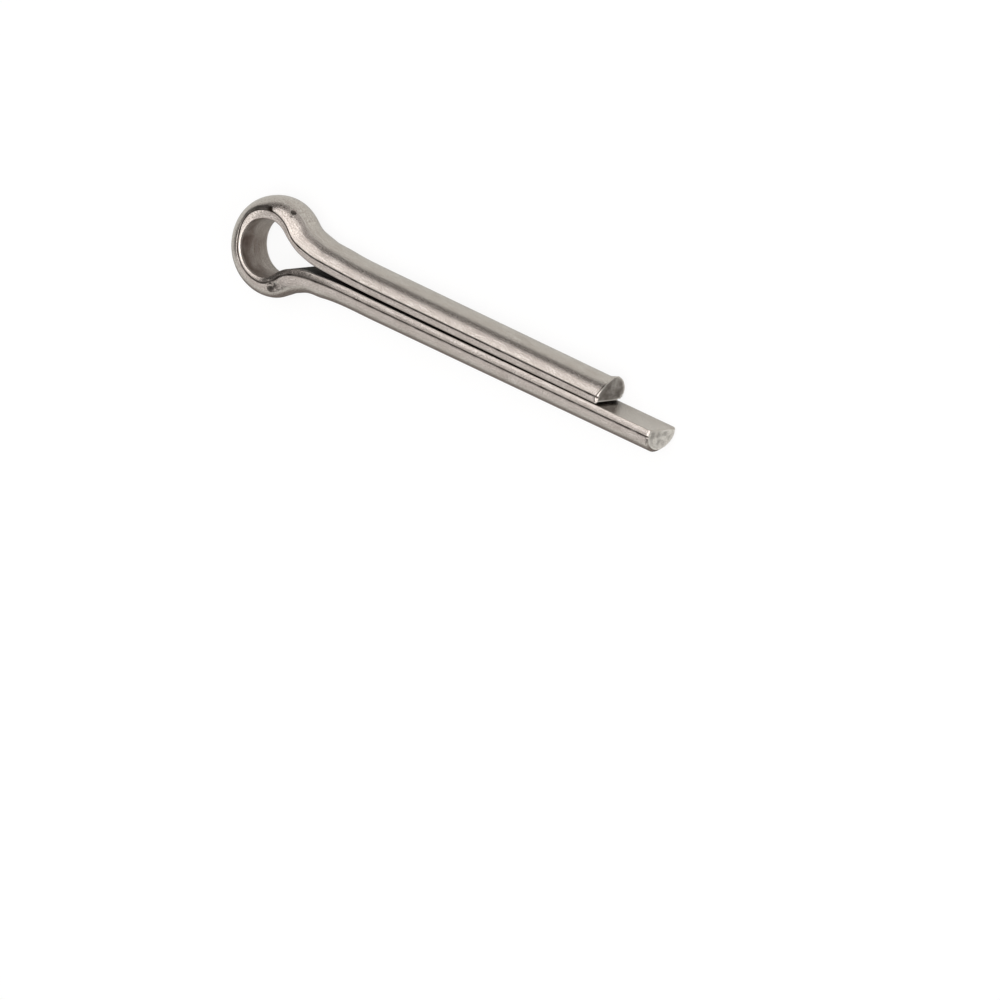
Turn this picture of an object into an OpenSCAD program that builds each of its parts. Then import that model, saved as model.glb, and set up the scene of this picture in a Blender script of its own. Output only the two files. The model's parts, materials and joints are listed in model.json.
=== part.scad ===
// Split cotter pin: one half-round wire folded at its middle into a round eye, two necks
// and two prongs that lie flat to flat and make a round shank.
// Frame: origin on the shank's axis where the prongs become straight, +X along the prongs
// to their tips, +Y towards the short prong, +Z up along the eye's axis. The pin lies on
// its side, as it comes to rest.

/* [Shank] */
// Radius of the round shank, and so of the wire's crown
shank_radius = 2.27; // [1.4:0.01:3.2]
// Gap between the flats where the prongs start
neck_gap = 0.3; // [0.1:0.02:1]
// Gap between the flats at the short prong's tip
tip_gap = 0.1; // [0.04:0.02:1]

/* [Wire] */
// Width of the wire across the two creases where its crown meets its narrow sides
wire_width = 4.3; // [2.4:0.02:6]
// Slope of each narrow side, which draws in from the crease to the flat
side_slope = 12; // [2:1:20]
// Radius on the two long corners between the flat and the narrow sides
corner_radius = 0.14; // [0.1:0.01:0.3]

/* [Eye] */
// Radius of the round hole, which the wire's flat lines
eye_radius = 2.39; // [1.8:0.01:6]

/* [Neck] */
// Radius of the hollow that the crown makes on the outside of each neck
neck_hollow = 3.7; // [2:0.1:8]
// How much slimmer all round the wire is in the necks
neck_slimming = 0.01; // [0.01:0.01:0.1]
// How far each neck runs into the eye and into its prong
neck_overlap = 0.12; // [0.05:0.01:0.15]

/* [Prongs] */
// Straight length of the short prong
short_length = 31.4; // [10:0.1:100]
// How far the long prong reaches past the short one
extension = 6; // [1:0.1:15]

/* [Cut ends] */
// Bevel on the sides of the short prong's end
short_side_bevel = 0.24; // [0.08:0.02:0.4]
// Bevel on the flat's edge of the short prong's end, where the cutter went in
short_flat_bevel = 0.28; // [0.05:0.01:0.5]
// Bevel on the sides of the long prong's end
long_side_bevel = 0.1; // [0.05:0.01:0.4]
// Bevel on the crown of the long prong's end, where the cutter went in
long_crown_bevel = 0.34; // [0.05:0.01:0.5]
// Smallest bevel that a cut end keeps on its other edges
least_bevel = 0.04; // [0.02:0.01:0.1]
// Height of the burr that the cutter raised on the short prong's crown
burr_height = 0.27; // [0.1:0.01:0.6]
// Length over which the burr rises
burr_length = 0.9; // [0.5:0.1:3]
// Radius of the burr's back, seen from the end
burr_radius = 1.5; // [1:0.1:2]

/* [Forming marks] */
// Radius of the ball that leaves the shape of each mark
mark_radius = 1; // [0.6:0.1:2]
// Depth of each mark below the crown
mark_depth = 0.12; // [0.04:0.02:0.3]
// Place of the marks round the eye, from the shank's axis
mark_turn = 62; // [50:1:90]
// Place of the marks round the wire, from its crown towards its upper side
mark_climb = 52; // [0:1:70]

/* [Hidden] */
$fn = 60;

// the wire's height is what the shank's radius leaves beside the gap midway along the short
// prong, where the crown's circle is centred on the shank's axis; a wire that is wider than
// the shank has a flatter crown of the same height
flat_offset = (neck_gap + tip_gap) / 4;
wire_height = shank_radius - flat_offset;
crown_radius = max(shank_radius, wire_width / 2);
crown_centre = wire_height - crown_radius;

// larger than the wire in every direction
clear = 4 * crown_radius;

// a narrow side runs from its crease to its long corner, and three planes that touch one
// rounding circle turn that corner
crease_out = crown_centre + sqrt(pow(crown_radius, 2) - pow(wire_width / 2, 2));
corner_y = wire_width / 2
    - ((crease_out - corner_radius) * sin(side_slope) + corner_radius) / cos(side_slope);
corner_step = (90 - side_slope) / 3;

// a prong leans in from the neck to its tip
lean = asin((neck_gap - tip_gap) / 2 / short_length);
long_length = short_length + extension;
burr_slope = atan2(burr_height, burr_length);

// the wire's flat follows two arcs, each neck's bending away from the eye's
neck_radius = wire_height + neck_hollow;
neck_centre = [neck_radius * sin(lean), neck_gap / 2 + neck_radius * cos(lean)];
eye_x = neck_centre[0] - sqrt(pow(neck_radius + eye_radius, 2) - pow(neck_centre[1], 2));
eye_end = atan2(neck_centre[1], neck_centre[0] - eye_x);
neck_start = eye_end - 180;
neck_end = -90 - lean;
overlap_angle = neck_overlap / neck_radius * 180 / PI;

// upper side of the section: the narrow side from beyond the crown, then the long corner
function upper_side(slimmer) =
    let (
        radius = corner_radius - slimmer,
        reach = radius / cos(corner_step / 2)
    )
    concat(
        [[
            corner_radius - radius * sin(side_slope) + clear * cos(side_slope),
            corner_y + radius * cos(side_slope) + clear * sin(side_slope)
        ]],
        [
            for (turn = [90 + side_slope + corner_step / 2 : corner_step : 180])
                [corner_radius + reach * cos(turn), corner_y + reach * sin(turn)]
        ]
    );

// section of the wire: half round, its flat on x = 0
module wire_section(slimmer = 0) {
    upper = upper_side(slimmer);
    intersection() {
        translate([crown_centre, 0])
            circle(r = crown_radius - slimmer);
        polygon(concat(
            upper,
            [for (i = [len(upper) - 1 : -1 : 0]) [upper[i][0], -upper[i][1]]]
        ));
    }
}

// straight wire along +X, its crown towards +Y
module straight_wire(length) {
    rotate([90, 0, 90])
        linear_extrude(height = length)
            wire_section();
}

// bevelled envelope of a cut end: a cone, moved so that crown and sides get their own
// bevels, and a slope along the edge of the flat
module cut_envelope(length, crown_bevel, side_bevel, flat_bevel) {
    crown = wire_height - crown_bevel;
    side = wire_width / 2 - side_bevel;
    cone_y = (pow(crown, 2) - pow(side, 2)) / 2 / crown;
    end_radius = crown - cone_y;
    difference() {
        translate([0, cone_y, 0])
            rotate([0, 90, 0]) {
                translate([0, 0, length - clear])
                    cylinder(r1 = end_radius + clear, r2 = end_radius, h = clear);
                translate([0, 0, -clear])
                    cylinder(r = end_radius + clear, h = length);
            }
        translate([length - flat_bevel, 0, 0])
            rotate([0, 0, 45])
                translate([-clear, -2 * clear, -clear])
                    cube([2 * clear, 2 * clear, 2 * clear]);
    }
}

// lip raised on the crown at the end: a bar that climbs out of the wire, cut off square
module burr(length) {
    intersection() {
        translate([length - burr_length, wire_height - burr_radius / cos(burr_slope), 0])
            rotate([0, 90, burr_slope])
                translate([0, 0, -burr_length])
                    cylinder(r = burr_radius, h = 3 * burr_length);
        translate([length - 2 * burr_length, 0, -clear])
            cube([2 * burr_length, clear, 2 * clear]);
    }
}

module short_prong() {
    intersection() {
        straight_wire(short_length);
        cut_envelope(short_length, least_bevel, short_side_bevel, short_flat_bevel);
    }
    burr(short_length);
}

module long_prong() {
    intersection() {
        straight_wire(long_length);
        cut_envelope(long_length, long_crown_bevel, long_side_bevel, least_bevel);
    }
}

// neck on the +Y side, its crown inside the bend, from the eye to where its prong starts
module neck() {
    translate(neck_centre)
        rotate_extrude(
            start = neck_start - overlap_angle,
            angle = neck_end - neck_start + 2 * overlap_angle
        )
            translate([neck_radius, 0])
                mirror([1, 0])
                    wire_section(neck_slimming);
}

// eye, its crown outside the bend
module eye() {
    translate([eye_x, 0])
        rotate_extrude(start = eye_end, angle = 360 - 2 * eye_end)
            translate([eye_radius, 0])
                wire_section();
}

// dish left by the forming tool on the shoulder of the +Y side
module forming_mark() {
    reach = crown_radius + mark_radius - mark_depth;
    translate([eye_x, 0])
        rotate([0, 0, mark_turn])
            translate([
                eye_radius + crown_centre + reach * cos(mark_climb),
                0,
                reach * sin(mark_climb)
            ])
                sphere(r = mark_radius);
}

module split_pin() {
    color([0.66, 0.64, 0.61])
        difference() {
            union() {
                eye();
                neck();
                mirror([0, 1, 0])
                    neck();
                translate([0, neck_gap / 2, 0])
                    rotate([0, 0, -lean])
                        short_prong();
                mirror([0, 1, 0])
                    translate([0, neck_gap / 2, 0])
                        rotate([0, 0, -lean])
                            long_prong();
            }
            forming_mark();
            mirror([0, 1, 0])
                forming_mark();
        }
}

split_pin();
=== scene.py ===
# %% [markdown]
# # Split cotter pin
#
# This pin is one piece of half-round stainless wire, folded at its middle. The fold is a
# round eye, two necks bring the wire together, and two prongs lie flat to flat and make a
# round shank. Metres and the CAD model's own frame are used all through: +X runs along the
# prongs to their tips, +Y points to the short prong, and +Z is up, because the pin lies on
# its side. The lengths below are written in millimetres and turned into metres at the end.

# %% Load the fixed frame
import json
import math

import bmesh
import bpy
from mathutils import Matrix, Quaternion, Vector, noise


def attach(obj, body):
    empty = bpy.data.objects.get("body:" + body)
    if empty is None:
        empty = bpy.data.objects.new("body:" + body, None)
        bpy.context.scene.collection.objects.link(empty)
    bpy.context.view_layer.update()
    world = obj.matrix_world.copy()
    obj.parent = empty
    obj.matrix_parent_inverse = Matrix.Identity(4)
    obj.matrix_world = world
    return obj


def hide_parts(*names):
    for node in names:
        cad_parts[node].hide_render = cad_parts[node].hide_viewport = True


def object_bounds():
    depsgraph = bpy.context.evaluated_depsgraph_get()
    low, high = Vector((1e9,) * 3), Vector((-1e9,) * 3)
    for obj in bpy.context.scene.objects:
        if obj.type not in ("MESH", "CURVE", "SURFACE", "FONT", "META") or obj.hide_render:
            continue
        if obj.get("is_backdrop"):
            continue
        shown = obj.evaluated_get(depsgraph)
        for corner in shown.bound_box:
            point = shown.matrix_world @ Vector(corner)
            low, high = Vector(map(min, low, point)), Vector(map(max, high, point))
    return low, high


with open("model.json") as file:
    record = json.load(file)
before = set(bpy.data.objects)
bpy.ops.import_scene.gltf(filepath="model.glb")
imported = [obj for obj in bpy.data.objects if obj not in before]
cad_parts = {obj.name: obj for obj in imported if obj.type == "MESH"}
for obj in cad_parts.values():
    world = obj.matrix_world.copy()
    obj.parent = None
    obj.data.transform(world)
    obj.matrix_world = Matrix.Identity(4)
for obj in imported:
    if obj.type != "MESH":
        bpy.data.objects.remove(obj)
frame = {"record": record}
cad_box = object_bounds()
mounts = {m["name"]: m for m in frame["record"]["mounts"]}
MM = 0.001
print("CAD box in mm:", [[round(v / MM, 2) for v in corner] for corner in cad_box])
print("stated fits:", sorted(mounts))

# %% [markdown]
# ## The sizes that the wire follows
#
# Blender repeats the solid's own sizes, so that the detailed wire follows the solid. It
# leaves it by 0.3 mm at most, where bending or the tools changed the wire. The shank's radius
# and the eye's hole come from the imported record. The rest is what a toolmaker would write on
# the drawing of such a pin: how wide the wire is, how far its flats stand apart, and where
# its two ends are cut.

# %% Sizes of the wire, in millimetres
shank_radius = mounts["shank"]["dims"]["r_mm"]
eye_radius = mounts["eye"]["dims"]["r_mm"]
wire_width = 4.3
side_slope = math.radians(12)
corner_radius = 0.14
neck_gap = 0.3
tip_gap = 0.1
neck_hollow = 3.7
short_length = 31.4
extension = 6.0

flat_offset = (neck_gap + tip_gap) / 4
wire_height = shank_radius - flat_offset
lean = math.asin((neck_gap - tip_gap) / 2 / short_length)
long_length = short_length + extension
neck_radius = wire_height + neck_hollow
neck_x = neck_radius * math.sin(lean)
neck_y = neck_gap / 2 + neck_radius * math.cos(lean)
eye_x = neck_x - math.sqrt((neck_radius + eye_radius) ** 2 - neck_y ** 2)
eye_end = math.atan2(neck_y, neck_x - eye_x)
print("eye centre at x = %.3f mm, its arc ends at %.2f degrees" % (eye_x, math.degrees(eye_end)))

# %% [markdown]
# ## The line of the wire
#
# The wire is made in a straight draw bench and only then folded, so it is easiest to think
# of one long line, measured from the eye's far side: positive distances run down the short
# prong and negative ones down the long prong. A curve object with a bevel could follow such
# a line, but it can't give each cut end and each side its own shape, so the line is a small
# function here, and the mesh is swept along it one ring at a time.

# %% A point of the line, and the way out of the wire there
eye_arc = eye_radius * (math.pi - eye_end)
neck_arc = neck_radius * ((-math.pi / 2 - lean) - (eye_end - math.pi))
straight_from = eye_arc + neck_arc
short_end = straight_from + short_length
long_end = -(straight_from + long_length)


def line_at(along):
    """Point on the flat and direction towards the crown, both in the XY plane."""
    far = abs(along)
    side = 1 if along >= 0 else -1
    if far < eye_arc:
        turn = math.pi - far / eye_radius
        out = (math.cos(turn), math.sin(turn))
        point = (eye_x + eye_radius * out[0], eye_radius * out[1])
    elif far < straight_from:
        turn = eye_end - math.pi + (far - eye_arc) / neck_radius
        out = (-math.cos(turn), -math.sin(turn))
        point = (neck_x - neck_radius * out[0], neck_y - neck_radius * out[1])
    else:
        run = far - straight_from
        out = (math.sin(lean), math.cos(lean))
        point = (run * math.cos(lean), neck_gap / 2 - run * math.sin(lean))
    return (point[0], side * point[1]), (out[0], side * out[1])


print("wire length %.1f mm, of which %.1f mm is the eye" % (short_end - long_end, 2 * eye_arc))

# %% [markdown]
# ## Where the wire gets its rings of points
#
# A straight prong needs few rings. The eye needs many, and so do the forming marks and the
# last two millimetres before each cut, where bevels and a burr have to be crisp. Spacing
# the rings by need keeps the mesh light.

# %% Distances of the rings along the wire
mark_turn = 62
mark_along = eye_radius * (math.pi - math.radians(mark_turn))


def spaced(start, stop, step):
    """Even distances from start up to stop, which is left to the next stretch."""
    count = max(1, round(abs(stop - start) / step))
    return [start + (stop - start) * i / count for i in range(count)]


def half_rings(end):
    """Distances from the eye's far side to one cut."""
    stretches = (
        # where the stretch stops, and how far apart its rings are
        (mark_along - 0.75, 0.09),
        (mark_along + 0.7, 0.035),
        (straight_from, 0.11),
        (end - 2.2, 0.4),
        (end - 0.6, 0.09),
        (end, 0.03),
    )
    distances, start = [], 0
    for stop, step in stretches:
        distances += spaced(start, stop, step)
        start = stop
    return distances + [end]


rings = [-d for d in reversed(half_rings(-long_end))][:-1] + half_rings(short_end)
print("rings along the wire:", len(rings))

# %% [markdown]
# ## The section of the wire
#
# Half-round wire is rolled, not turned. Its crown is part of a circle and its flat is plain.
# Between them lies a narrow side, which draws in a little towards the flat, and where it
# meets the crown the rolls leave a crease: the one fine dark line that runs all along the
# pin. The points are given as (out, up): out from the flat to the crown, and up towards +Z.
# The section is a function of five sizes, because bending changes it, and it always has the
# same number of points, so that one ring can be joined to the next.

# %% Points of the section
half_width = wire_width / 2
crease_out = math.sqrt(shank_radius ** 2 - half_width ** 2) - flat_offset
crease_half = 0.11
crease_depth = 0.085
side_belly = 0.012
flat_points = 8
corner_points = 10
crown_points = 35
drawn = (wire_height, crease_out, half_width, side_slope, corner_radius)


def upper_half(top, crease, width, slope, corner):
    """From the middle of the flat over the +Z side to the top of the crown."""
    drop = (crease - corner) * math.sin(slope) + corner
    corner_up = width - drop / math.cos(slope)
    points = [(0.0, corner_up * i / flat_points, "flat") for i in range(flat_points)]
    for i in range(corner_points):
        turn = math.pi - (math.pi / 2 - slope) * i / (corner_points - 1)
        points.append((
            corner + corner * math.cos(turn), corner_up + corner * math.sin(turn), "corner"))
    start = points[-1]
    edge = (crease - crease_half * math.cos(slope), width - crease_half * math.sin(slope))
    for part in (0.17, 0.34, 0.5, 0.67, 0.84, 1.0):
        belly = side_belly * 4 * part * (1 - part)
        points.append((
            start[0] + (edge[0] - start[0]) * part,
            start[1] + (edge[1] - start[1]) * part + belly, "side"))
    for part in (-0.5, 0.0, 0.5):
        points.append((
            crease + part * crease_half, width - crease_depth * (1 - abs(part) / 2), "crease"))
    centre = (top ** 2 - crease ** 2 - width ** 2) / 2 / (top - crease)
    radius = top - centre
    full = math.atan2(width, crease - centre) - crease_half / radius
    for i in range(crown_points):
        turn = full * (1 - i / (crown_points - 1))
        points.append((
            centre + radius * math.cos(turn), radius * math.sin(turn), "crown"))
    return points


def whole_section(*sizes):
    """The upper half and its mirror image, once round the wire."""
    half = upper_half(*sizes)
    return half + [(out, -up, kind) for out, up, kind in reversed(half[1:-1])]


section = whole_section(*drawn)
first_crown = [kind for out, up, kind in section].index("crown")
around = [0.0]
for a, b in zip(section, section[1:] + section[:1]):
    around.append(around[-1] + math.hypot(b[0] - a[0], b[1] - a[1]))
girth = around.pop()
print("points in the section: %d, girth %.2f mm" % (len(section), girth))


def outward(i):
    """Direction out of the section at one of its points, with the crease left out."""
    out, up, kind = section[i]
    if kind == "crease":
        return 0.1, math.copysign(0.995, up)
    a, b = section[i - 1], section[(i + 1) % len(section)]
    if a[2] == "crease":
        a = section[i]
    if b[2] == "crease":
        b = section[i]
    run = math.hypot(b[0] - a[0], b[1] - a[1])
    return -(b[1] - a[1]) / run, (b[0] - a[0]) / run


section_out = [outward(i) for i in range(len(section))]
print("the section faces", [round(v, 2) for v in section_out[0]], "on its flat")

# %% [markdown]
# ## Forming marks, necks and cut ends
#
# A swept wire alone looks like a drawing. The real one carries the traces of its making.
# Bending squeezes the eye a little narrower and lifts its crease towards the crown, the
# prongs bow out a little where they leave it, and the cutter leaves bevels and, on the short
# prong, a burr that stands off the crown. Each trace is a small rule or a row of a table, so
# it can be read and changed alone.

# %% How bending changes the section round the eye and in the necks
bent = [
    # distance along in mm; how far the flat, the crown's top and the crease stand out;
    # half width; slope in degrees; corner
    (-16.0, -0.04, wire_height, 0.58, half_width, 12, 0.10),
    (-13.5, -0.06, wire_height - 0.03, 0.56, half_width, 12, 0.10),
    (-12.0, -0.02, wire_height + 0.01, 0.58, half_width, 12, 0.11),
    (-11.0, 0.03, wire_height + 0.09, 0.63, half_width, 12, 0.12),
    (-10.2, 0.09, wire_height + 0.19, 0.69, half_width, 12, 0.13),
    (-9.2, 0.10, wire_height + 0.18, 0.70, half_width, 12, 0.14),
    (-8.3, 0.08, wire_height + 0.14, 0.65, 2.14, 12, 0.15),
    (-7.4, 0.06, wire_height + 0.10, 0.56, 2.14, 12, 0.15),
    (-6.6, 0.03, wire_height + 0.05, 0.50, 2.13, 12, 0.15),
    (-5.9, 0.07, wire_height - 0.04, 0.53, 2.12, 12, 0.15),
    (-5.2, 0.13, wire_height - 0.13, 0.62, 2.12, 12, 0.15),
    (-4.6, 0.19, wire_height - 0.03, 0.70, 2.11, 12, 0.13),
    (-4.1, 0.24, wire_height - 0.02, 0.71, 2.11, 12, 0.12),
    (-2.8, 0.24, wire_height - 0.05, 0.60, 2.10, 12, 0.10),
    (-1.0, 0.20, wire_height - 0.06, 0.51, 2.10, 12, 0.09),
    (0.1, 0.20, wire_height - 0.07, 0.55, 2.10, 12, 0.09),
    (0.9, 0.20, wire_height - 0.07, 0.74, 2.10, 11, 0.10),
    (1.8, 0.18, wire_height - 0.08, 0.95, 2.10, 10, 0.12),
    (2.9, 0.12, wire_height - 0.09, 0.97, 2.11, 10, 0.13),
    (4.2, 0.10, wire_height - 0.02, 0.78, 2.13, 11, 0.14),
    (5.4, 0.11, wire_height - 0.05, 0.60, 2.15, 12, 0.14),
    (6.4, 0.20, wire_height + 0.04, 0.61, 2.15, 12, 0.14),
    (7.4, 0.22, wire_height + 0.19, 0.75, 2.15, 12, 0.14),
    (8.6, 0.25, wire_height + 0.27, 0.86, 2.15, 12, 0.14),
    (10.0, 0.18, wire_height + 0.21, 0.85, half_width, 12, corner_radius),
    (11.4, 0.11, wire_height + 0.14, 0.78, half_width, 12, corner_radius),
    (13.0, 0.05, wire_height + 0.03, 0.71, half_width, 12, corner_radius),
    (15.0, 0.02, wire_height, 0.64, half_width, 12, corner_radius),
    (17.0, 0.0, wire_height, crease_out, half_width, 12, corner_radius),
]


def section_at(along):
    """The section at a distance, on a smooth curve through the rows of the table."""
    row = 0
    while row < len(bent) - 2 and along > bent[row + 1][0]:
        row += 1
    a, b = bent[row], bent[row + 1]
    before, after = bent[max(0, row - 1)], bent[min(len(bent) - 1, row + 2)]
    run = b[0] - a[0]
    t = min(1.0, max(0.0, (along - a[0]) / run))
    sizes = []
    for k in range(1, 7):
        leave = (b[k] - before[k]) / (b[0] - before[0]) * run
        arrive = (after[k] - a[k]) / (after[0] - a[0]) * run
        sizes.append((2 * t ** 3 - 3 * t ** 2 + 1) * a[k] + (t ** 3 - 2 * t ** 2 + t) * leave
                     + (3 * t ** 2 - 2 * t ** 3) * b[k] + (t ** 3 - t ** 2) * arrive)
    flat, top, crease, width, slope, corner = sizes
    shape = whole_section(top - flat, crease - flat, width, math.radians(slope), corner)
    return [(out + flat, up, kind) for out, up, kind in shape]


print("the crease lies %.2f to %.2f mm out" % (min(r[3] for r in bent), max(r[3] for r in bent)))


# %% Bevel of each cut end at each point of the section
# bevel in mm on the flat, the sides and the crown, how closely the side's bevel keeps to the
# side, and the slant of the lower corner
short_cut = (0.20, 0.22, 0.02, 8, 0.35)
long_cut = (0.07, 0.11, 0.30, 2, 0.10)


def cut_inset(i, from_end, short):
    """How far a point draws in, given its distance from the cut."""
    crownward = max(0.0, section_out[i][0])
    sideward = abs(section_out[i][1])
    flatward = max(0.0, -section_out[i][0])
    out, up = section[i][:2]
    lower = max(0.0, -up - 1.1) * max(0.0, 1.2 - out)
    on_flat, on_side, on_crown, closeness, slant = short_cut if short else long_cut
    bevel = on_flat * flatward ** 2 + on_side * sideward ** closeness + on_crown * crownward ** 2
    return max(0.0, bevel + slant * lower - from_end)


# %% The burr on the short prong's crown
burr_height = 0.30
burr_length = 1.0
burr_middle = 7
burr_above = 24
burr_below = 40


def burr(i, from_end):
    """How far the crown is raised by the cutter; the burr's middle is in degrees below it."""
    out, up, kind = section[i]
    if kind != "crown" or from_end > burr_length:
        return 0.0
    turn = math.degrees(math.atan2(-up, out + flat_offset))
    width = burr_above if turn < burr_middle else burr_below
    lip = math.exp(-((turn - burr_middle) / width) ** 2)
    ragged = 1 + 0.16 * noise.noise(Vector((turn * 0.09, 3.7, 0)))
    return burr_height * lip * ragged * (1 - from_end / burr_length) ** 1.4


print("burr at the crown's top: %.2f mm" % max(burr(i, 0.0) for i in range(len(section))))

# %% [markdown]
# ## Dents left by the forming tool
#
# Each dent is a ball pressed into the shoulder: a point that would lie inside the ball goes
# to its surface, and the metal just outside rises a little, as it does under a punch. The
# upper shoulder has one small nick with a faint scuff beside it. The lower one has a patch
# of shallow dents that overlap, like a swirl. The inside of each dent is darkened with
# painted shade.

# %% Balls that press into the shoulders
shoulder_marks = []
soft_edge = 0.05
raised_rim = 0.02


def press(turn_deg, climb_deg, side, radius, depth, dent_shade):
    """A ball at an angle round the eye and an angle up from the crown's top."""
    turn, climb = math.radians(turn_deg), math.radians(climb_deg)
    reach = shank_radius + radius - depth
    way = (math.cos(turn), side * math.sin(turn))
    out = eye_radius - flat_offset + reach * math.cos(climb)
    centre = Vector((eye_x + out * way[0], out * way[1], reach * math.sin(climb)))
    shoulder_marks.append((centre, radius, dent_shade))


# the last number is how much painted shade darkens the inside of the dent
press(69, 37, 1, 0.46, 0.13, 0.90)
press(66, 46, 1, 0.60, 0.04, 0.15)
press(59, 64, -1, 0.54, 0.17, 0.40)
press(61, 53, -1, 0.44, 0.16, 0.80)
press(53, 60, -1, 0.42, 0.17, 0.35)
press(60, 73, -1, 0.36, 0.12, 0.35)
press(61, 50, -1, 1.50, 0.13, 0.40)
press(53, 55, -1, 1.30, 0.17, 0.40)
print("presses on the shoulders:", len(shoulder_marks))


def pressed(spot):
    """Where a point goes, and how much painted shade darkens it inside a dent."""
    dent_shading = 0.0
    for centre, radius, dent_shade in shoulder_marks:
        away = spot - centre
        inside = radius - away.length
        if inside > -soft_edge:
            push = 0.5 * (inside + math.sqrt(inside * inside + 0.0004))
            spot = spot + away.normalized() * push
            dent_shading = max(dent_shading, dent_shade * min(1.0, max(0.0, inside) / soft_edge))
        elif inside > -0.3:
            spot = spot + away.normalized() * raised_rim * math.exp(-(inside / 0.09) ** 2)
    return spot, dent_shading


# %% [markdown]
# ## Sweeping the wire
#
# bmesh joins the rings into one skin. Every point remembers how far along the wire and how
# far round it sits, in millimetres, in a UV map. Drawn metal has its grain along the wire,
# so that map is what makes the grain follow the bend of the eye. Two named point values
# say where the skin is darker and where it was rubbed, for the finish to use. The darkness
# is mostly painted shade and painted dark reflection, in the crease, the dents, the flats
# between the necks, a band in the eye and a line at the short cut; darker flecks on the
# lower neck's side and the darker middles of the cut faces are in it too.

# %% Place one point of the wire
def wire_point(along, i, shape):
    """Where point i of a ring lies, with its bevel, burr and dents, and its dent's painted
    shade.
    """
    point, way = line_at(along)
    out, up = shape[i][:2]
    short = along > 0
    from_end = (short_end - along) if short else (along - long_end)
    inset = cut_inset(i, from_end, short)
    out -= inset * section_out[i][0]
    up -= inset * section_out[i][1]
    if short:
        out += burr(i, from_end)
    spot = Vector((point[0] + out * way[0], point[1] + out * way[1], up))
    return pressed(spot)


# %% Where painted shade, darker flecks and wear sit
def ramp(value, low, high):
    """0 below low, 1 above high, smooth between; low may be the larger."""
    share = min(1.0, max(0.0, (value - low) / (high - low)))
    return share * share * (3 - 2 * share)


def grime_and_shade_at(along, i, dent_shading):
    """Painted shade in dents, crease, necks and cut edge, painted reflection in the eye, and
    flecks.
    """
    up, kind = section[i][1:]
    uneven = noise.noise(Vector((along * 1.3, math.copysign(5, up), 0)))
    # painted shade inside the dents
    grime_and_shade = dent_shading
    if kind == "crease":
        # painted shade in the crease's groove, a little uneven
        grime_and_shade = 0.88 + 0.2 * uneven
    elif kind == "crown":
        # painted dark reflection: a band of the crown beside the crease, in the eye only
        beyond = (i if up > 0 else len(section) - i) - first_crown
        band = 0.5 * ramp(along, 0.6, 1.8) * ramp(along, 3.62, 3.42)
        grime_and_shade = max(grime_and_shade, (0.8 + 0.4 * uneven) * ramp(beyond * 0.1, band + 0.05, band - 0.1))
    elif kind in ("flat", "corner"):
        # painted shade on the flats and their corners between the necks, where the legs face
        # each other
        deep = ramp(abs(along), eye_arc - 0.7, eye_arc + 0.8) * ramp(along, -40, -12)
        grime_and_shade = max(grime_and_shade, (0.97 if kind == "flat" else 0.25) * deep)
    elif kind == "side":
        fleck = noise.noise(Vector((along * 6, up * 9, 3)))
        neck = ramp(along, -13, -10) * ramp(along, -4.1, -4.7)
        grime_and_shade = max(grime_and_shade, (0.62 + 0.5 * fleck) * neck)
    # painted shade line along the edge of the short cut's bevel, on the side that faces up
    edge = short_end - along - 0.22 * section_out[i][1] ** 8
    if kind in ("side", "crown") and up > 0 and section_out[i][1] > 0.6:
        grime_and_shade = max(grime_and_shade, 0.85 * ramp(abs(edge - 0.05), 0.07, 0.03))
    return grime_and_shade


def wear_at(along, i):
    """How strongly the flat was rubbed brown in the eye: most towards the upper side."""
    up, kind = section[i][1:]
    if kind != "flat":
        return 0.0
    return ramp(abs(along), straight_from, eye_arc) * (1.1 + 0.28 * up)


# %% Sweep it
mesh = bmesh.new()
uv_layer = mesh.loops.layers.uv.new("wire_map")
# how much darker each point is painted: mostly painted shade and painted dark reflection
grime_and_shade_skin = mesh.verts.layers.float.new("grime_and_shade")
wear_skin = mesh.verts.layers.float.new("wear")

skin = []
for along in rings:
    shape = section_at(along)
    ring = []
    for i in range(len(shape)):
        spot, dent_shading = wire_point(along, i, shape)
        vert = mesh.verts.new(spot)
        vert[grime_and_shade_skin] = grime_and_shade_at(along, i, dent_shading)
        vert[wear_skin] = wear_at(along, i)
        ring.append(vert)
    skin.append(ring)

for r in range(len(skin) - 1):
    for i in range(len(section)):
        k = (i + 1) % len(section)
        face = mesh.faces.new((skin[r][k], skin[r][i], skin[r + 1][i], skin[r + 1][k]))
        face.smooth = True
        here, there = around[i], around[k] if k else girth
        spots = ((r, there), (r, here), (r + 1, here), (r + 1, there))
        for loop, spot in zip(face.loops, spots):
            loop[uv_layer].uv = (rings[spot[0]], spot[1])
print("skin of the wire: %d points" % len(mesh.verts))


# %% Close both cut ends
end_shares = (0.985, 0.94, 0.88, 0.8, 0.71, 0.61, 0.5, 0.39, 0.28, 0.17, 0.07)


def finish_end(face):
    """Give a face of a cut the sheared finish, mapped straight on."""
    face.smooth = True
    face.material_index = 1
    for loop in face.loops:
        loop[uv_layer].uv = (loop.vert.co.y, loop.vert.co.z)


def join_end(outer, inner, short):
    """Faces between two rings of a cut."""
    for i in range(len(outer)):
        k = (i + 1) % len(outer)
        order = (outer[i], outer[k], inner[k], inner[i])
        finish_end(mesh.faces.new(order[::-1] if short else order))


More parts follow.
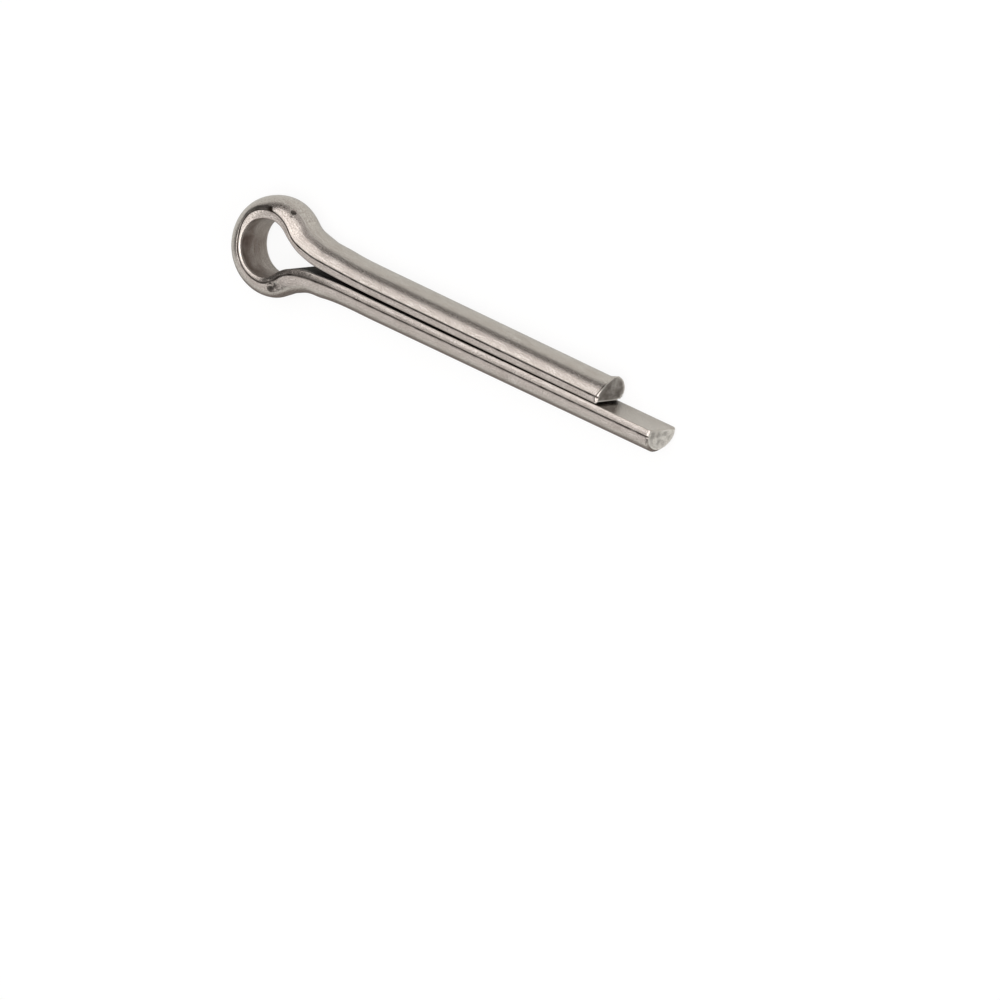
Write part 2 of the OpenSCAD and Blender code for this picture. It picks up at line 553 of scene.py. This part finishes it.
def close_end(ring, along, short):
    """Rings of points from the cut's edge to its middle, with the relief of a sheared face."""
    point, way = line_at(along)
    heading = Vector((way[1], -way[0], 0)) * (1 if short else -1)
    middle = Vector((point[0] + 0.95 * way[0], point[1] + 0.95 * way[1], 0))
    last = ring
    for share in end_shares:
        fresh = []
        for edge in ring:
            spot = middle + (edge.co - middle) * share
            coarse = noise.noise(Vector((spot.y * 1.5, spot.z * 1.2, along)))
            fine = noise.noise(Vector((spot.y * 4.5, spot.z * 3.5, along)))
            depth = -(0.06 + 0.06 * coarse + 0.04 * fine) * min(1, (1 - share) * 7)
            fresh.append(mesh.verts.new(spot + heading * depth))
            # darker middle of each cut face: dull metal on the long face, mostly painted shade
            # on the short face
            patch = noise.noise(Vector((spot.y * 2.2, spot.z * 1.8, along + 5)))
            dull_and_shade = 0.74 + 0.25 * patch if short else 0.16 + 0.55 * patch
            inner = ramp(share, 1, 0.85) if short else ramp(share, 0.92, 0.7)
            fresh[-1][grime_and_shade_skin] = max(0.0, min(0.95, dull_and_shade)) * inner
        join_end(last, fresh, short)
        last = fresh
    hub = mesh.verts.new(sum((v.co for v in last), Vector()) / len(last))
    hub[grime_and_shade_skin] = last[0][grime_and_shade_skin]
    for i in range(len(last)):
        k = (i + 1) % len(last)
        order = (last[k], last[i], hub) if short else (last[i], last[k], hub)
        finish_end(mesh.faces.new(order))


close_end(skin[-1], rings[-1], True)
close_end(skin[0], rings[0], False)
mesh.normal_update()
print("points: %d, faces: %d" % (len(mesh.verts), len(mesh.faces)))

# %% Turn it into an object, in metres, with crisp edges where it was cut
wire_data = bpy.data.meshes.new("half_round_wire")
mesh.to_mesh(wire_data)
mesh.free()
wire_data.transform(Matrix.Scale(MM, 4))
wire_data.set_sharp_from_angle(angle=math.radians(38))
wire = bpy.data.objects.new("half_round_wire", wire_data)
bpy.context.scene.collection.objects.link(wire)
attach(wire, "root")
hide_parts("split_pin")
print("wire object:", [round(v / MM, 2) for v in wire.dimensions])


# %% [markdown]
# ## Node groups for the finish
#
# Two finishes are needed: bright drawn wire, and the torn grey of a sheared end. Both have
# fine lines and specks, so these are node groups, built once and placed in each material
# with its own values. A group gives out only values, and the shader stays in its material.

# %% A helper that builds a group from named sockets
def new_group(name, inputs, outputs):
    """A node group with its named sockets, and its two end nodes."""
    group = bpy.data.node_groups.new(name, "ShaderNodeTree")
    for label, kind, value in inputs:
        socket = group.interface.new_socket(label, in_out="INPUT", socket_type=kind)
        if value is not None:
            socket.default_value = value
    for label, kind in outputs:
        group.interface.new_socket(label, in_out="OUTPUT", socket_type=kind)
    start = group.nodes.new("NodeGroupInput")
    end = group.nodes.new("NodeGroupOutput")
    return group, start, end


def math_node(tree, operation, a, b=None, c=None, clamp=False):
    """A Math node whose inputs are either numbers or sockets."""
    node = tree.nodes.new("ShaderNodeMath")
    node.operation = operation
    node.use_clamp = clamp
    for socket, value in zip(node.inputs, (a, b, c)):
        if value is None:
            continue
        if isinstance(value, (int, float)):
            socket.default_value = value
        else:
            tree.links.new(value, socket)
    return node.outputs[0]


# %% Group: drawn lines
grain, start, end = new_group(
    "drawn_grain",
    [("Map", "NodeSocketVector", None),
     ("Lines per mm", "NodeSocketFloat", 14.0),
     ("Length of a line in mm", "NodeSocketFloat", 1.2)],
    [("Lines", "NodeSocketFloat")])
split = grain.nodes.new("ShaderNodeSeparateXYZ")
grain.links.new(start.outputs["Map"], split.inputs[0])
join = grain.nodes.new("ShaderNodeCombineXYZ")
grain.links.new(
    math_node(grain, "DIVIDE", split.outputs[0], start.outputs["Length of a line in mm"]),
    join.inputs[0])
grain.links.new(
    math_node(grain, "MULTIPLY", split.outputs[1], start.outputs["Lines per mm"]),
    join.inputs[1])
streaks = grain.nodes.new("ShaderNodeTexNoise")
streaks.noise_dimensions = "2D"
streaks.inputs["Scale"].default_value = 1
streaks.inputs["Detail"].default_value = 3
streaks.inputs["Roughness"].default_value = 0.65
grain.links.new(join.outputs[0], streaks.inputs["Vector"])
grain.links.new(streaks.outputs["Fac"], end.inputs["Lines"])
print("group:", grain.name)

# %% Group: specks and stains
specks, start, end = new_group(
    "specks",
    [("Map", "NodeSocketVector", None),
     ("Specks per mm", "NodeSocketFloat", 6.0),
     ("Share", "NodeSocketFloat", 0.5)],
    [("Specks", "NodeSocketFloat"), ("Stain", "NodeSocketFloat")])
fine = specks.nodes.new("ShaderNodeTexNoise")
fine.noise_dimensions = "2D"
fine.inputs["Detail"].default_value = 2
fine.inputs["Roughness"].default_value = 0.6
specks.links.new(start.outputs["Map"], fine.inputs["Vector"])
specks.links.new(start.outputs["Specks per mm"], fine.inputs["Scale"])
above = math_node(specks, "SUBTRACT", fine.outputs["Fac"], start.outputs["Share"])
specks.links.new(math_node(specks, "MULTIPLY", above, 7.0, clamp=True), end.inputs["Specks"])
broad = specks.nodes.new("ShaderNodeTexNoise")
broad.noise_dimensions = "2D"
broad.inputs["Scale"].default_value = 0.45
broad.inputs["Detail"].default_value = 4
specks.links.new(start.outputs["Map"], broad.inputs["Vector"])
specks.links.new(broad.outputs["Fac"], end.inputs["Stain"])
print("group:", specks.name)


# %% Helpers that place them in a material
def new_material(name):
    """A material, its node tree and its Principled shader."""
    material = bpy.data.materials.new(name)
    material.use_nodes = True
    return material, material.node_tree, material.node_tree.nodes["Principled BSDF"]


def place(tree, group, **values):
    """A node group in a material, with its sockets set or linked by name."""
    node = tree.nodes.new("ShaderNodeGroup")
    node.node_tree = group
    for label, value in values.items():
        socket = node.inputs[label.replace("_", " ")]
        if isinstance(value, (int, float)):
            socket.default_value = value
        else:
            tree.links.new(value, socket)
    return node


def mix_colour(tree, share, a, b):
    """Colour a where share is 0, colour b where it is 1."""
    node = tree.nodes.new("ShaderNodeMix")
    node.data_type = "RGBA"
    sockets = [s for s in node.inputs if s.type == "RGBA"]
    for socket, value in zip(sockets, (a, b)):
        if isinstance(value, tuple):
            socket.default_value = (*value, 1)
        else:
            tree.links.new(value, socket)
    tree.links.new(share, node.inputs[0])
    return [o for o in node.outputs if o.type == "RGBA"][0]


def named_value(tree, name):
    """One of the values that the points of the wire carry."""
    node = tree.nodes.new("ShaderNodeAttribute")
    node.attribute_name = name
    return node.outputs["Fac"]


def wire_map(tree):
    """Distance along the wire and round it, in mm."""
    node = tree.nodes.new("ShaderNodeUVMap")
    node.uv_map = "wire_map"
    return node.outputs[0]


def add_bump(tree, shader, height, strength, depth):
    """Fine relief from a height; its depth is in mm."""
    bump = tree.nodes.new("ShaderNodeBump")
    bump.inputs["Strength"].default_value = strength
    bump.inputs["Distance"].default_value = depth * MM
    tree.links.new(height, bump.inputs["Height"])
    tree.links.new(bump.outputs["Normal"], shader.inputs["Normal"])


# %% [markdown]
# ## Bright drawn stainless
#
# The wire is plain metal, so its look is mostly what it reflects. Long fine lines roughen
# it unevenly, and faint stains warm its colour. The crease, the dents, the flats between
# the necks and a line at the short cut are painted darker as shade, a band beside the
# crease in the eye as a dark reflection, and the darkest of them are also rougher. The
# lower neck's side carries darker flecks. The inside of the eye was squeezed against the
# forming pin, and is brown and dull.

# %% Finish of the wire
bright_steel = (0.80, 0.755, 0.715)
warm_steel = (0.64, 0.585, 0.54)
line_shade = (0.42, 0.37, 0.335)
speck_shade = (0.25, 0.20, 0.18)
rubbed_brown = (0.20, 0.15, 0.13)
# near black for the painted shade, the painted dark reflection and the darker flecks
dirt_and_shade_black = (0.024, 0.018, 0.014)

stainless, tree, shader = new_material("stainless_wire")
on_wire = wire_map(tree)
lines = place(tree, grain, Map=on_wire, Lines_per_mm=9.0, Length_of_a_line_in_mm=1.6)
dots = place(tree, specks, Map=on_wire, Specks_per_mm=9.0, Share=0.48)
grime_and_shade = named_value(tree, "grime_and_shade")
wear = named_value(tree, "wear")

clean = mix_colour(tree, dots.outputs["Stain"], bright_steel, warm_steel)
line_share = math_node(tree, "MULTIPLY_ADD", lines.outputs["Lines"], 1.7, -0.6, clamp=True)
grained = mix_colour(tree, line_share, clean, line_shade)
speck_share = math_node(tree, "MULTIPLY", dots.outputs["Specks"], 0.5)
speckled = mix_colour(tree, speck_share, grained, speck_shade)
blotches = math_node(tree, "MULTIPLY_ADD", dots.outputs["Stain"], 1.4, -0.25, clamp=True)
worn = mix_colour(tree, math_node(tree, "MULTIPLY", wear, blotches), speckled, rubbed_brown)
# the point values darken the colour: mostly painted shade and painted dark reflection, some
# flecks
tree.links.new(mix_colour(tree, grime_and_shade, worn, dirt_and_shade_black), shader.inputs["Base Color"])
shader.inputs["Metallic"].default_value = 1

rough = math_node(tree, "MULTIPLY_ADD", lines.outputs["Lines"], 0.14, 0.12)
rough = math_node(tree, "MULTIPLY_ADD", dots.outputs["Specks"], 0.08, rough)
rough = math_node(tree, "MULTIPLY_ADD", wear, 0.22, rough)
# the darkest of these places are also rougher
heavy_darkening = math_node(tree, "POWER", grime_and_shade, 4.0)
rough = math_node(tree, "MULTIPLY_ADD", heavy_darkening, 0.35, rough, clamp=True)
tree.links.new(rough, shader.inputs["Roughness"])

height = math_node(tree, "MULTIPLY_ADD", dots.outputs["Specks"], -0.6, lines.outputs["Lines"])
add_bump(tree, shader, height, 0.6, 0.008)
wire_data.materials.append(stainless)
print("finish:", stainless.name)

# %% [markdown]
# ## The sheared ends
#
# A cutter first slices and then tears. The face it leaves has lines across it, from the
# side where the cutter went in, and is rougher and duller than the drawn skin.

# %% Finish of the cut ends
torn_bright = (0.95, 0.94, 0.91)
torn_warm = (0.66, 0.62, 0.58)
pit_shade = (0.36, 0.32, 0.29)
# colour of the darker middles of the cut faces: dull metal, and painted shade on the short face
smeared_and_shaded_dark = (0.10, 0.08, 0.07)

sheared, tree, shader = new_material("sheared_end")
on_end = wire_map(tree)
lines = place(tree, grain, Map=on_end, Lines_per_mm=5.0, Length_of_a_line_in_mm=0.5)
dots = place(tree, specks, Map=on_end, Specks_per_mm=7.0, Share=0.52)
torn = mix_colour(tree, dots.outputs["Stain"], torn_bright, torn_warm)
pit_share = math_node(tree, "MULTIPLY", dots.outputs["Specks"], 0.38)
torn = mix_colour(tree, pit_share, torn, pit_shade)
torn = mix_colour(tree, named_value(tree, "grime_and_shade"), torn, smeared_and_shaded_dark)
tree.links.new(torn, shader.inputs["Base Color"])
shader.inputs["Metallic"].default_value = 1
rough = math_node(tree, "MULTIPLY_ADD", dots.outputs["Specks"], 0.15, 0.55)
tree.links.new(rough, shader.inputs["Roughness"])
height = math_node(tree, "ADD", lines.outputs["Lines"], dots.outputs["Specks"])
add_bump(tree, shader, height, 0.9, 0.04)
wire_data.materials.append(sheared)
print("finish:", sheared.name)

# %% [markdown]
# ## Camera
#
# The pin is small, so a long lens far away keeps it nearly free of perspective, as a
# catalogue picture does. The camera looks down on the pin's side, and the prongs run down to
# the right. The lens is shifted a little, because the pin isn't in the middle of its sheet.

# %% Camera
camera_distance = 1.497
across = Vector((0.7714, 0.2700, -0.5763)).normalized()
towards = Vector((0.5199, 0.2549, 0.8153)).normalized()
upwards = towards.cross(across).normalized()
across = upwards.cross(towards).normalized()
camera_data = bpy.data.cameras.new("bench_camera")
camera = bpy.data.objects.new("bench_camera", camera_data)
bpy.context.scene.collection.objects.link(camera)
turn = Matrix((across, upwards, towards)).transposed().to_4x4()
camera.matrix_world = Matrix.Translation(towards * camera_distance) @ turn
camera_data.lens = 618.6
camera_data.sensor_width = 36
camera_data.shift_x = 0.1723
camera_data.shift_y = -0.2303
camera_data.clip_start = 0.1
camera_data.clip_end = 10
bpy.context.scene.camera = camera
print("the camera stands %.2f m away" % camera.matrix_world.translation.length)

# %% [markdown]
# ## Studio
#
# Polished metal shows its surroundings, so the lamps are shapes to be seen in the wire as
# much as they are lights. A wide window stands behind the pin, a soft box hangs above it, and
# a panel in front fills the lower crown. The floor is plain and pale. The camera sees it and
# the backdrop as white, which comes from their own materials and not from stronger lamps. A
# dark card beside the lower prong, which the camera doesn't see, is a painted shadow on the
# floor there, and draws a dark edge in the metal's reflection.

# %% Helper: a share of white for chosen rays
def white_share(tree, camera_share, glossy_share, transmission_share):
    """How white a surface looks to the camera, in reflections and through clear things."""
    path = tree.nodes.new("ShaderNodeLightPath")
    share = math_node(tree, "MULTIPLY", path.outputs["Is Camera Ray"], camera_share)
    share = math_node(
        tree, "MULTIPLY_ADD", path.outputs["Is Glossy Ray"], glossy_share, share)
    return math_node(
        tree, "MULTIPLY_ADD", path.outputs["Is Transmission Ray"], transmission_share, share)


def lay_down(name, west, south, east, north, up):
    """A flat sheet, in metres."""
    data = bpy.data.meshes.new(name)
    data.from_pydata([(west, south, up), (east, south, up), (east, north, up),
                      (west, north, up)], [], [(0, 1, 2, 3)])
    sheet = bpy.data.objects.new(name, data)
    bpy.context.scene.collection.objects.link(sheet)
    sheet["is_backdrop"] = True
    return sheet


# %% Floor
floor_reach = 1.5
floor_up = cad_box[0][2]
floor = lay_down("studio_floor", -floor_reach, -floor_reach, floor_reach, floor_reach, floor_up)
floor_material, tree, shader = new_material("studio_floor")
tree.nodes.remove(shader)
output = tree.nodes["Material Output"]
matte = tree.nodes.new("ShaderNodeBsdfDiffuse")
only_camera = white_share(tree, 1.0, 0.0, 0.0)
paper = mix_colour(tree, only_camera, (0.62, 0.64, 0.62), (0.98, 0.98, 0.98))
tree.links.new(paper, matte.inputs["Color"])
white = tree.nodes.new("ShaderNodeEmission")
blend = tree.nodes.new("ShaderNodeMixShader")
tree.links.new(white_share(tree, 0.88, 0.1, 0.88), blend.inputs["Fac"])
tree.links.new(matte.outputs[0], blend.inputs[1])
tree.links.new(white.outputs[0], blend.inputs[2])
tree.links.new(blend.outputs[0], output.inputs["Surface"])
floor.data.materials.append(floor_material)
print("floor at z = %.2f mm" % (floor.data.vertices[0].co.z / MM))

# %% A dark card that only the metal sees: a painted shadow on the floor beside the lower prong
card = lay_down("painted_shadow_card", -0.014, -0.013, 0.044, -0.0026, floor_up + 0.02 * MM)
card_material, tree, shader = new_material("painted_shadow_card")
shader.inputs["Base Color"].default_value = (0.20, 0.185, 0.175, 1)
shader.inputs["Roughness"].default_value = 1
card.data.materials.append(card_material)
card.visible_camera = card.visible_shadow = card.visible_diffuse = False
print("card beside the lower prong:", [round(v / MM) for v in card.dimensions[:2]], "mm")

# %% Backdrop
world = bpy.data.worlds.new("studio")
bpy.context.scene.world = world
world.use_nodes = True
tree = world.node_tree
room = tree.nodes["Background"]
room.inputs["Color"].default_value = (0.11, 0.102, 0.098, 1)
backdrop = tree.nodes.new("ShaderNodeBackground")
backdrop.inputs["Color"].default_value = (1, 1, 1, 1)
blend = tree.nodes.new("ShaderNodeMixShader")
tree.links.new(white_share(tree, 1.0, 0.04, 1.0), blend.inputs["Fac"])
tree.links.new(room.outputs[0], blend.inputs[1])
tree.links.new(backdrop.outputs[0], blend.inputs[2])
tree.links.new(blend.outputs[0], tree.nodes["World Output"].inputs["Surface"])
print("backdrop:", world.name)


# %% Lamps
lit_spot = Vector((0.01, 0, 0))


def softbox(name, azimuth, elevation, roll, distance, width, height, brightness):
    """Area lamp that faces the pin; its brightness is what a mirror there would show."""
    az, el = math.radians(azimuth), math.radians(elevation)
    way = Vector((math.cos(az) * math.cos(el), math.sin(az) * math.cos(el), math.sin(el)))
    data = bpy.data.lights.new(name, "AREA")
    data.shape = "RECTANGLE"
    data.size, data.size_y = width, height
    data.energy = brightness * math.pi * width * height
    data.color = (1, 0.98, 0.965)
    lamp = bpy.data.objects.new(name, data)
    lamp.rotation_mode = "QUATERNION"
    lamp.rotation_quaternion = (
        way.to_track_quat("Z", "Y") @ Quaternion((0, 0, 1), math.radians(roll)))
    lamp.location = lit_spot + way * distance
    lamp.visible_camera = False
    bpy.context.scene.collection.objects.link(lamp)


softbox("window", 68, 59, 10, 0.62, 1.4, 0.84, 1.28)
softbox("overhead", 262, 73, 0, 0.7, 0.7, 0.5, 1.2)
softbox("side_panel", 236, 23, 0, 0.6, 0.62, 0.5, 0.66)
softbox("end_panel", 352, 26, 0, 0.6, 0.9, 0.3, 1.5)
softbox("right_panel", 8, 66, 0, 0.6, 0.5, 0.5, 1.0)
softbox("far_wall", 72, 10, 0, 0.6, 0.8, 0.2, 0.32)
bpy.context.scene.view_settings.view_transform = "Standard"

# %% Print both boxes and finish
boxes = {"cad": [list(v) for v in cad_box], "visual": [list(v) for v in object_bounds()]}
for name, box in boxes.items():
    print(name, [[round(v / MM, 2) for v in corner] for corner in box])
